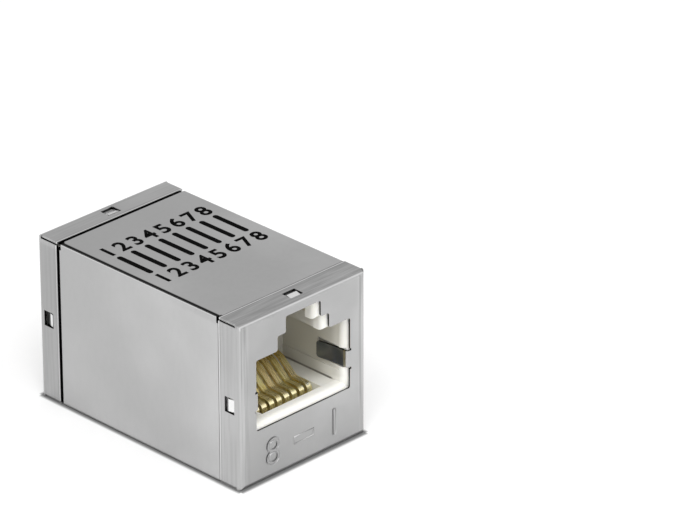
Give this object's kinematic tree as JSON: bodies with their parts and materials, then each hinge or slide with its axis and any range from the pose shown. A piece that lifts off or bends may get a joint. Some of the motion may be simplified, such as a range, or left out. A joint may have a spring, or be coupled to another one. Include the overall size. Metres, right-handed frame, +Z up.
{
  "type": "rj45 inline coupler",
  "caption": "Shielded inline coupler for modular network plugs: folded sheet-metal case, a stepped plastic-lined socket at either end, gold spring contacts.",
  "frame": {"origin": "middle of the base, on the surface the coupler rests on", "axes": "+Y runs along the coupler from the front socket to the rear one, +X across it, +Z up towards the latch slots; the front socket opens towards -Y"},
  "size_m": [0.0172, 0.0286, 0.018],
  "materials": {
    "cap_plate": "satin nickel plate, fine rolling lines",
    "shell_plate": "satin nickel plate, fine rolling lines",
    "housing_plastic": "moulded, warm white",
    "carrier_plastic": "moulded, warm white",
    "contact_gold": "gold plated spring strip",
    "board_laminate": "green solder resist",
    "print_ink": "matt black pad print"
  },
  "bodies": {
    "root": {"shell_sleeve": "shell_plate", "circuit_board": "board_laminate", "front_end_cap": "cap_plate", "front_jack_housing": "housing_plastic", "front_contact_carrier": "carrier_plastic", "front_contact_1": "contact_gold", "front_contact_2": "contact_gold", "front_contact_3": "contact_gold", "front_contact_4": "contact_gold", "front_contact_5": "contact_gold", "front_contact_6": "contact_gold", "front_contact_7": "contact_gold", "front_contact_8": "contact_gold", "rear_end_cap": "cap_plate", "rear_jack_housing": "housing_plastic", "rear_contact_carrier": "carrier_plastic", "rear_contact_1": "contact_gold", "rear_contact_2": "contact_gold", "rear_contact_3": "contact_gold", "rear_contact_4": "contact_gold", "rear_contact_5": "contact_gold", "rear_contact_6": "contact_gold", "rear_contact_7": "contact_gold", "rear_contact_8": "contact_gold"}
  },
  "joints": []
}
